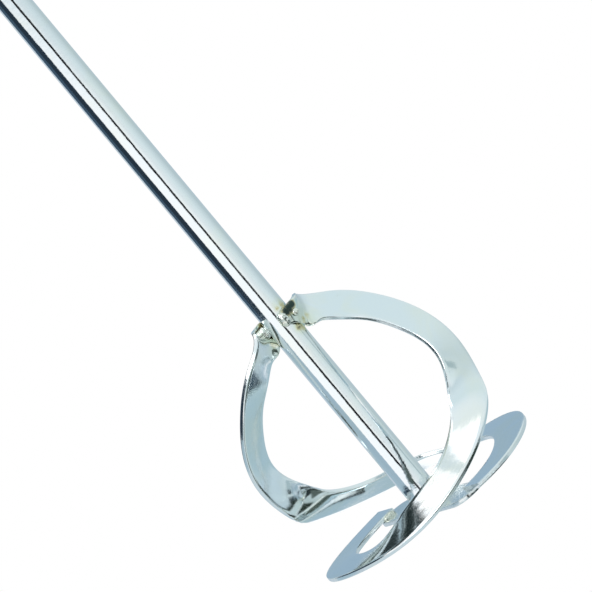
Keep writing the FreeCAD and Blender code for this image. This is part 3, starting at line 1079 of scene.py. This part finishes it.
BENDS = [
    Bend(112, 34, 2.3, 0, 0), Bend(150, 33.5, 2.6, 0, 0), Bend(192, 34, 3.8, 0, 0), Bend(230, 34, 4.2, 6, 8),
    Bend(260, 34.25, 6.75, 7, 31), Bend(290, 34.5, 11, 8, 26), Bend(314, 34.25, 16.5, 12, 22),
    Bend(328, 34.25, 21, 22, 24), Bend(338, 34.75, 26.75, 49, 30), Bend(346, 35.75, 36, 60, 21),
    Bend(360, 31, 50.75, 44, 4), Bend(372, 25.25, 59.75, 38, -9), Bend(383, 17.5, 67.5, 38, -25),
    Bend(382, 8.8, 73, 44, -40), Bend(343, 6, 74.75, 30, -70), Bend(314, 5.7, 75.5, 0, -86),
    Bend(285, 5.7, 75.75, 0, -88),
]


def end_slope(knots: np.ndarray, values: np.ndarray) -> np.ndarray:
    """Slope, at the first of four knots, of the cubic through their values."""
    powers = (knots - knots[0])[:, None] ** np.arange(4)
    return np.linalg.solve(powers, values)[1]


def smooth_through(knots: np.ndarray, values: np.ndarray, at: np.ndarray) -> np.ndarray:
    """A smooth cubic curve through values at knots.

    Args:
        knots: Increasing parameters.
        values: One row for each knot.
        at: The parameters to read.

    Returns:
        One row for each parameter.
    """
    n = len(knots)
    gap = np.diff(knots)
    rise = np.diff(values, axis=0) / gap[:, None]
    system = np.zeros((n, n))
    right = np.zeros_like(values)
    system[0, 0] = system[-1, -1] = 1
    right[0] = end_slope(knots[:4], values[:4])
    right[-1] = end_slope(knots[::-1][:4], values[::-1][:4])
    for i in range(1, n - 1):
        system[i, i - 1:i + 2] = gap[i], 2 * (gap[i - 1] + gap[i]), gap[i - 1]
        right[i] = 3 * (gap[i] * rise[i - 1] + gap[i - 1] * rise[i])
    slopes = np.linalg.solve(system, right)
    spot = np.clip(np.searchsorted(knots, at, side="right") - 1, 0, n - 2)
    h = gap[spot][:, None]
    s = ((at - knots[spot]) / gap[spot])[:, None]
    return ((1 + 2 * s) * (1 - s) ** 2 * values[spot] + s * (1 - s) ** 2 * h * slopes[spot]
            + s * s * (3 - 2 * s) * values[spot + 1] + s * s * (s - 1) * h * slopes[spot + 1])


@dataclass
class RibbonBlade:
    """One bent strip: tail on the cross strip, half the ring, the arm, and the tab wrapped on the rod."""

    finish: PlatedFinish
    width: float = 12 * MM
    thickness: float = 1.5 * MM
    edge_radius: float = 0.3 * MM
    rim_width: float = 1.1 * MM
    tab_tip_width: float = 4.5 * MM
    tabbed_bends: int = 4
    steps: int = 420
    rod_radius: float = 5 * MM
    heat: float = 0.5
    heat_reach: float = 7 * MM
    heat_from: float = 60 * MM
    scorch_and_shade_core: float = 1.5
    # Spots on the tab and in the pocket by the rod, partly weld tint and partly painted shade; the strongest
    # reach the near-black green.
    scorch_and_shade_spots: tuple[ScorchAndShade, ...] = (
        ScorchAndShade(6.2, -3.0, 77.6, reach=1.7, level=1.25), ScorchAndShade(5.0, -4.5, 77.4, reach=1.9, level=1.3),
        ScorchAndShade(3.4, -5.6, 77.2, reach=1.7, level=1.25), ScorchAndShade(6.3, -1.0, 71.0, reach=1.6, level=0.75),
        ScorchAndShade(7.0, 1.5, 71.2, reach=1.8, level=0.6))

    def line(self) -> GuideLine:
        """The middle line of ribbon A.

        Returns:
            The line with its width, its faces and its taper.
        """
        places = np.array([b.place() for b in BENDS])
        ways = np.array([b.width_way() for b in BENDS])
        knots = np.concatenate([[0], np.cumsum(np.linalg.norm(np.diff(places, axis=0), axis=1))])
        at = np.linspace(0, knots[-1], self.steps)
        points = smooth_through(knots, places, at)
        wide = smooth_through(knots, ways, at)
        tangent = np.gradient(points, at, axis=0)
        tangent /= np.linalg.norm(tangent, axis=1)[:, None]
        wide -= tangent * (wide * tangent).sum(1)[:, None]
        wide /= np.linalg.norm(wide, axis=1)[:, None]
        start = knots[-self.tabbed_bends]
        taper = np.clip((at - start) / (knots[-1] - start), 0, 1)
        share = 1 + (self.tab_tip_width / self.width - 1) * taper
        return GuideLine(points, {"width_way": wide, "face_way": np.cross(tangent, wide),
                                  "width_share": share})

    def build(self, letter: Letter, tree: bpy.types.NodeTree,
              material: bpy.types.Material) -> bpy.types.Object:
        """Sweeps one ribbon and dresses it.

        Args:
            letter: Which of the two ribbons.
            tree: The bent strip's tree.
            material: The ribbon's material.

        Returns:
            The finished ribbon.
        """
        name = f"ribbon_blade_{letter.tail}_visual"
        blade = plain_mesh(name, self.line().mesh(name, letter.turn), tree, {
            "Width": self.width, "Thickness": self.thickness, "Edge Radius": self.edge_radius,
            "Rim Width": self.rim_width, "Material": material})
        self.mark(blade.data, letter)
        return hand_over(blade, f"ribbon_blade_{letter.tail}")

    def mark(self, mesh: bpy.types.Mesh, letter: Letter) -> None:
        """Writes how hot the welding made each place near the rod, with painted shade on the tab and in the
        pocket by the rod.

        Args:
            mesh: The ribbon's mesh.
            letter: Which of the two ribbons.
        """
        places = places_of(mesh) * (letter.side, letter.side, 1)
        out = np.hypot(places[:, 0], places[:, 1]) - self.rod_radius
        heat = self.heat * np.clip(1 - out / self.heat_reach, 0, 1) * (places[:, 2] > self.heat_from)
        for spot in self.scorch_and_shade_spots:
            heat = np.maximum(heat, spot.heat(places, self.scorch_and_shade_core))
        set_floats(mesh, HEAT_AND_SHADE, heat)


# ---------------------------------------------------------------- welds
@dataclass
class Welds:
    """Every run of weld metal on the head."""

    finish: PlatedFinish
    rod_radius: float = 5 * MM
    strip_thickness: float = 1.5 * MM
    half_strip: float = 6 * MM
    bead_radius: float = 1.7 * MM
    bead_length: float = 5 * MM
    drop_radius: float = 1.3 * MM
    lap_radius: float = 1.4 * MM
    lap_length: float = 4.8 * MM
    lap_start: float = 0.4 * MM
    root_radius: float = 1.5 * MM
    root_top: Place = (6.1 * MM, -0.3 * MM, 77.6 * MM)
    root_foot: Place = (5.7 * MM, -0.1 * MM, 73.2 * MM)
    foot_radius: float = 1.1 * MM
    foot_rise: float = 0.35
    foot_steps: int = 160
    foot_ripples: int = 30
    end_swell: float = 0.05
    steps: int = 60
    seed: float = 8.0
    foot_seed: float = 5.0
    heat: float = 0.25
    foot_heat: float = 0.3

    def run(self, start: np.ndarray, end: np.ndarray, radius: float) -> GuideLine:
        """A straight run whose ends close in a round shape.

        Args:
            start: Its first point, in metres.
            end: Its last point.
            radius: Its radius, which is how long each rounded end is.

        Returns:
            The line with its swell.
        """
        t = (1 - np.cos(np.linspace(0, math.pi, self.steps))) / 2
        to_end = np.minimum(t, 1 - t) * np.linalg.norm(end - start)
        inside = np.clip(1 - to_end / radius, 0, 1)
        swell = np.sqrt(np.clip(1 - inside ** 2, self.end_swell ** 2, 1))
        return GuideLine(start + (end - start) * t[:, None], {"swell": swell})

    def tab_root(self) -> GuideLine:
        """The run that fills the pocket between the rod and ribbon A's twist."""
        return self.run(np.array(self.root_top), np.array(self.root_foot), self.root_radius)

    def tab_bead(self, ribbon: GuideLine) -> GuideLine:
        """The run up the tip of ribbon A's tab."""
        reach = ribbon.values["width_way"][-1] * self.bead_length / 2
        return self.run(ribbon.points[-1] - reach, ribbon.points[-1] + reach, self.bead_radius)

    def tab_drop(self, ribbon: GuideLine) -> GuideLine:
        """The round drop on the outer face of ribbon A's tab, between its second and third bend from the tip.

        Args:
            ribbon: Ribbon A's line.

        Returns:
            The drop's line.
        """
        seat = np.mean([bend.place() for bend in BENDS[-3:-1]], axis=0)
        nearest = int(np.argmin(np.linalg.norm(ribbon.points - seat, axis=1)))
        centre = ribbon.points[nearest]
        face = ribbon.values["face_way"][nearest]
        outward = face if face[:2] @ centre[:2] > 0 else -face
        middle = centre + outward * self.strip_thickness / 2
        reach = ribbon.values["width_way"][nearest] * self.drop_radius
        return self.run(middle - reach, middle + reach, self.drop_radius)

    def lap_bead(self) -> GuideLine:
        """The run inside ribbon A's tail, on the cross strip.

        Returns:
            The run's line.
        """
        angle = math.radians(BENDS[0].angle)
        out = np.array([math.cos(angle), math.sin(angle), 0.0])
        ahead = np.array([-math.sin(angle), math.cos(angle), 0.0])
        inner = out * (BENDS[0].radius * MM - self.half_strip) + np.array([0, 0, self.strip_thickness])
        start = inner + ahead * self.lap_start
        return self.run(start, start + ahead * self.lap_length, self.lap_radius)

    def build(self, letter: Letter, ribbon: GuideLine, tree: bpy.types.NodeTree,
              material: bpy.types.Material) -> list[bpy.types.Object]:
        """Makes the runs at one ribbon's tab and tail.

        Args:
            letter: Which ribbon.
            ribbon: Ribbon A's line.
            tree: The weld bead's tree.
            material: The weld metal's material.

        Returns:
            The finished pieces.
        """
        pieces = []
        for part, weld, line, radius in (
                ("tab_root", "tab_weld", self.tab_root(), self.root_radius),
                ("tab_bead", "tab_weld", self.tab_bead(ribbon), self.bead_radius),
                ("tab_drop", "tab_weld", self.tab_drop(ribbon), self.drop_radius),
                ("lap_bead", "lap_weld", self.lap_bead(), self.lap_radius)):
            name = f"{part}_{letter.tail}_visual"
            piece = plain_mesh(name, line.mesh(name, letter.turn), tree, {
                "Radius": radius, "Seed": self.seed + 3 * letter.value, "Material": material})
            set_even_heat(piece.data, self.heat)
            pieces.append(hand_over(piece, f"{weld}_{letter.tail}"))
        return pieces

    def build_foot(self, tree: bpy.types.NodeTree, material: bpy.types.Material) -> bpy.types.Object:
        """The ring of weld metal round the rod's foot.

        Args:
            tree: The weld bead's tree.
            material: The weld metal's material.

        Returns:
            The finished ring.
        """
        a = np.linspace(0, 2 * math.pi, self.foot_steps, endpoint=False)
        height = self.strip_thickness + self.foot_rise * self.foot_radius
        ring = np.stack([self.rod_radius * np.cos(a), self.rod_radius * np.sin(a),
                         np.full_like(a, height)], 1)
        swell = 1 + 0.12 * np.sin(3 * a) + 0.06 * np.sin(7 * a + 1)
        line = GuideLine(ring, {"swell": swell}, closed=True)
        piece = plain_mesh("foot_weld_visual", line.mesh("foot_weld_visual", Letter.A.turn), tree, {
            "Radius": self.foot_radius, "Ripple Pitch": 2 * math.pi * self.rod_radius / self.foot_ripples,
            "Seed": self.foot_seed, "Material": material})
        set_even_heat(piece.data, self.foot_heat)
        return hand_over(piece, "foot_weld")


# ---------------------------------------------------------------- studio
def glow_material(name: str, colour: Tone) -> bpy.types.Material:
    """A plain self-lit stage material.

    Args:
        name: The material's name.
        colour: What it glows.

    Returns:
        The material.
    """
    material = bpy.data.materials.new(name)
    material.use_nodes = True
    material.node_tree.nodes.clear()
    tree = Tree(material.node_tree)
    light = tree.fill(tree.add("ShaderNodeEmission"), {"Color": (*colour, 1), "Strength": 1.0})
    tree.fill(tree.add("ShaderNodeOutputMaterial"), {"Surface": light.outputs[0]})
    return material


def stage_panel(name: str, corners: Sequence[Sequence[float]], colour: Tone) -> bpy.types.Object:
    """A flat self-lit four-sided panel that isn't part of the tool.

    Args:
        name: The panel's name.
        corners: Its four corners in turn.
        colour: What it glows.

    Returns:
        The panel.
    """
    mesh = bpy.data.meshes.new(name)
    mesh.from_pydata([tuple(c) for c in corners], [], [(0, 1, 2, 3)])
    mesh.materials.append(glow_material(name, colour))
    panel = linked(name, mesh)
    return panel


@dataclass(frozen=True)
class Card:
    """An upright panel that only the metal sees. Azimuth and spread are in degrees, the rest in metres."""

    name: str
    azimuth: float
    distance: float
    low: float
    high: float
    spread: float
    colour: Tone

    def build(self) -> bpy.types.Object:
        """Sets the panel up round the tool, facing it.

        Returns:
            The panel.
        """
        a = math.radians(self.azimuth)
        centre = Vector((math.sin(a), -math.cos(a), 0)) * self.distance
        side = Vector((math.cos(a), math.sin(a), 0)) * math.tan(math.radians(self.spread / 2)) * self.distance
        low, high = Vector((0, 0, self.low)), Vector((0, 0, self.high))
        card = stage_panel(self.name, [centre - side + low, centre + side + low, centre + side + high,
                                       centre - side + high], self.colour)
        card.visible_camera = False
        card.visible_shadow = False
        card.visible_diffuse = False
        return card


CARDS = [
    Card("left_panel", -79, 0.34, 0.026, 0.5, 38, (0.0215, 0.037, 0.056)),
    Card("left_panel_far", -115, 0.34, 0.026, 0.5, 34, (0.052, 0.093, 0.142)),
    Card("left_sheet", -80, 0.34, -0.08, 0.025, 40, (0.39, 0.52, 0.60)),
    Card("left_sheet_far", -116, 0.34, -0.08, 0.025, 34, (0.40, 0.54, 0.62)),
    Card("right_sheet", 82, 0.34, -0.08, 0.022, 9, (0.42, 0.54, 0.57)),
    Card("camera_panel", 1.5, 1.5, -0.5, 0.6, 14, (0.01, 0.012, 0.015)),
]


@dataclass(frozen=True)
class RoomPanel:
    """A flag or lit sheet far off in the room: where it hangs, its size, tilt and tone. Angles in degrees."""

    azimuth: float
    elevation: float
    half_width: float
    half_height: float
    colour: Tone
    tilt: float = 0.0
    edge: float = 4.0

    def sockets(self) -> dict[str, object]:
        """The panel group's inputs.

        Returns:
            What each named input gets.
        """
        a = math.radians(self.azimuth)
        e = math.radians(self.elevation)
        centre = Vector((math.sin(a) * math.cos(e), -math.cos(a) * math.cos(e), math.sin(e)))
        right = Vector((math.cos(a), math.sin(a), 0))
        turn = Matrix.Rotation(math.radians(self.tilt), 3, centre)
        return {"Centre": centre, "Right": turn @ right, "Up": turn @ centre.cross(right),
                "Half Width": math.tan(math.radians(self.half_width)),
                "Half Height": math.tan(math.radians(self.half_height)),
                "Edge": math.tan(math.radians(self.edge))}


ROOM_PANELS = [
    RoomPanel(180, 11, 24, 9, (0.334, 0.467, 0.578)),
    RoomPanel(-146, 71, 15, 9, (1.3, 1.3, 1.3), edge=2),
    RoomPanel(-155.5, 46, 12, 21, (0.030, 0.043, 0.044), tilt=-33, edge=1.5),
    RoomPanel(49, -29, 33, 14, (0.022, 0.032, 0.033), edge=3),
    RoomPanel(10, -42, 14, 20, (0.10, 0.13, 0.12), edge=6),
    RoomPanel(-170, -34, 8, 14, (1.15, 1.15, 1.15)),
    RoomPanel(94, -51, 9, 19, (0.03, 0.045, 0.038), edge=7),
]

# The room's tones: at the metal's own level and below it by azimuth in degrees, with 0 towards the camera,
# and above it by share of the way up.
LEVEL_TONES = [
    (-180, (0.50, 0.60, 0.67)), (-140, (0.60, 0.69, 0.76)), (-120, (0.45, 0.53, 0.60)),
    (-70, (0.9, 0.95, 0.97)),
    (-55, (1.12, 1.12, 1.12)), (-8, (1.08, 1.12, 1.14)), (12, (1.0, 1.04, 1.03)), (30, (0.86, 0.92, 0.93)),
    (60, (0.76, 0.87, 0.88)), (85, (0.66, 0.77, 0.79)), (116, (0.53, 0.64, 0.66)), (180, (0.50, 0.60, 0.67))]
UPPER_TONES = [
    (0.0, (0.60, 0.71, 0.74)), (0.3, (0.73, 0.84, 0.86)), (0.55, (0.72, 0.84, 0.86)),
    (0.8, (0.84, 0.92, 0.94)),
    (1.0, (0.88, 0.95, 0.97))]
LOWER_TONES = [
    (-180, (0.39, 0.53, 0.60)), (-160, (0.42, 0.55, 0.62)), (-110, (0.6, 0.7, 0.75)), (0, (0.66, 0.77, 0.8)),
    (60, (0.45, 0.56, 0.56)), (85, (0.55, 0.67, 0.71)), (115, (0.58, 0.71, 0.77)), (130, (0.42, 0.57, 0.63)),
    (180, (0.39, 0.53, 0.60))]


@dataclass
class Studio:
    """Floor, soft light, panels, room and camera."""

    aim: Place = (8.93 * MM, 0.0, 78.2 * MM)
    view_side: float = 183.5 * MM
    distance: float = 2.0
    elevation: float = math.radians(8)
    roll: float = math.radians(39.8038)
    sensor: float = 36.0
    view_reach: float = 100.0
    floor_reach: float = 60.0
    floor_drop: float = 0.2 * MM
    upper_blend: tuple[float, float] = (-3.0, 9.0)
    lower_blend: tuple[float, float] = (-11.0, -20.0)
    lamp_place: Place = (-0.6, -0.8, 1.2)
    lamp_size: float = 0.8
    lamp_watts: float = 6.0

    def build(self) -> None:
        """Sets everything up, shown in plain tones."""
        self.build_world()
        self.build_floor()
        for card in CARDS:
            card.build()
        self.build_lamp()
        self.build_camera()
        bpy.context.scene.view_settings.view_transform = "Standard"

    def build_world(self) -> None:
        """The pale room that the metal reflects; straight to the camera it is plain white."""
        world = bpy.data.worlds.new("pale_room")
        world.use_nodes = True
        tree = Tree(world.node_tree)
        way = tree.vector("NORMALIZE", tree.add("ShaderNodeTexCoord").outputs["Generated"]).outputs[0]
        across, depth, height = tree.parts(way)
        azimuth = tree.math("ARCTAN2", across, tree.math("MULTIPLY", depth, -1.0))
        turn = tree.math("ADD", tree.math("DIVIDE", azimuth, 2 * math.pi), 0.5)
        elevation = tree.math("MULTIPLY", tree.math("ARCSINE", height), 180 / math.pi)
        level = tree.tones(turn, self.round_the_room(LEVEL_TONES))
        above = tree.tones(tree.math("DIVIDE", elevation, 90.0), UPPER_TONES)
        below = tree.tones(turn, self.round_the_room(LOWER_TONES))
        room = tree.mix(tree.ramp(elevation, *self.upper_blend), level, above)
        room = tree.mix(tree.ramp(elevation, *self.lower_blend), room, below)
        mask = self.panel_group()
        for panel in ROOM_PANELS:
            node = tree.add("ShaderNodeGroup", node_tree=mask)
            tree.fill(node, {"Way": way, **panel.sockets()})
            room = tree.mix(node.outputs["Mask"], room, (*panel.colour, 1))
        seen = tree.add("ShaderNodeLightPath").outputs["Is Camera Ray"]
        tree.fill(world.node_tree.nodes["Background"], {"Color": tree.mix(seen, room, (1, 1, 1, 1))})
        bpy.context.scene.world = world

    @staticmethod
    def round_the_room(tones: Sequence[tuple[float, Tone]]) -> list[tuple[float, Tone]]:
        """The tones with each azimuth as a share of the whole turn."""
        return [((azimuth + 180) / 360, colour) for azimuth, colour in tones]

    @staticmethod
    def panel_group() -> bpy.types.NodeTree:
        """A soft-edged rectangle in the room, seen from the middle.

        Returns:
            The group, which gives 1 inside the rectangle.
        """
        tree, given, out = new_group(
            "room_panel",
            [("Way", "Vector", None), ("Centre", "Vector", None), ("Right", "Vector", None),
             ("Up", "Vector", None),
             ("Half Width", "Float", 0.3), ("Half Height", "Float", 0.3), ("Edge", "Float", 0.1)],
            [("Mask", "Float")])
        ahead = tree.vector("DOT_PRODUCT", given["Way"], given["Centre"]).outputs["Value"]
        mask = tree.ramp(ahead, 0.0, 0.05)
        for axis, half in (("Right", "Half Width"), ("Up", "Half Height")):
            side = tree.vector("DOT_PRODUCT", given["Way"], given[axis]).outputs["Value"]
            off = tree.math("ABSOLUTE", tree.math("DIVIDE", side, tree.math("MAXIMUM", ahead, 0.01)))
            gone = tree.ramp(off, given[half], tree.math("ADD", given[half], given["Edge"]))
            mask = tree.math("MULTIPLY", mask, tree.math("SUBTRACT", 1.0, gone))
        tree.fill(out, {"Mask": mask})
        return tree.tree

    def build_floor(self) -> None:
        """A plain pale floor under the head, which the metal doesn't see."""
        low, _ = CAD_BOX
        span, height = self.floor_reach, low.z - self.floor_drop
        corners = [(-span, -span, height), (span, -span, height), (span, span, height), (-span, span, height)]
        floor = stage_panel("pale_floor", corners, (1, 1, 1))
        floor.visible_glossy = False

    def build_lamp(self) -> None:
        """One large soft lamp."""
        lamp = bpy.data.lights.new("key_light", "AREA")
        lamp.shape = "SQUARE"
        lamp.size = self.lamp_size
        lamp.energy = self.lamp_watts
        light = linked("key_light", lamp)
        light.location = self.lamp_place
        light.rotation_euler = (-Vector(self.lamp_place)).to_track_quat("-Z", "Y").to_euler()

    def build_camera(self) -> None:
        """A long lens, rolled so that the rod runs up to the left."""
        ahead = Vector((0, math.cos(self.elevation), -math.sin(self.elevation)))
        level_right = Vector((1, 0, 0))
        level_up = level_right.cross(ahead)
        right = level_right * math.cos(self.roll) - level_up * math.sin(self.roll)
        up = level_right * math.sin(self.roll) + level_up * math.cos(self.roll)
        lens = bpy.data.cameras.new("camera")
        lens.sensor_width = self.sensor
        lens.lens = self.sensor * self.distance / self.view_side
        lens.clip_end = self.view_reach
        camera = linked("camera", lens)
        turn = Matrix((right, up, -ahead)).transposed()
        camera.matrix_world = Matrix.Translation(Vector(self.aim) - ahead * self.distance) @ turn.to_4x4()
        bpy.context.scene.camera = camera


def main() -> None:
    """Builds the paddle's pieces in order, then the studio."""
    logging.basicConfig(level=logging.INFO, format="%(name)s: %(message)s")
    effects = SharedEffects()
    strip, bead = strip_tree(), bead_tree()
    DriveRod(ROD_FINISH).build(effects)
    CrossStrip(STRIP_FINISH).build(effects)
    ribbon, ribbon_material = RibbonBlade(RIBBON_FINISH), RIBBON_FINISH.build(effects)
    welds, weld_material = Welds(WELD_FINISH), WELD_FINISH.build(effects)
    for letter in Letter:
        ribbon.build(letter, strip, ribbon_material)
        welds.build(letter, ribbon.line(), bead, weld_material)
    welds.build_foot(bead, weld_material)
    Studio().build()


if __name__ == "__main__":
    main()
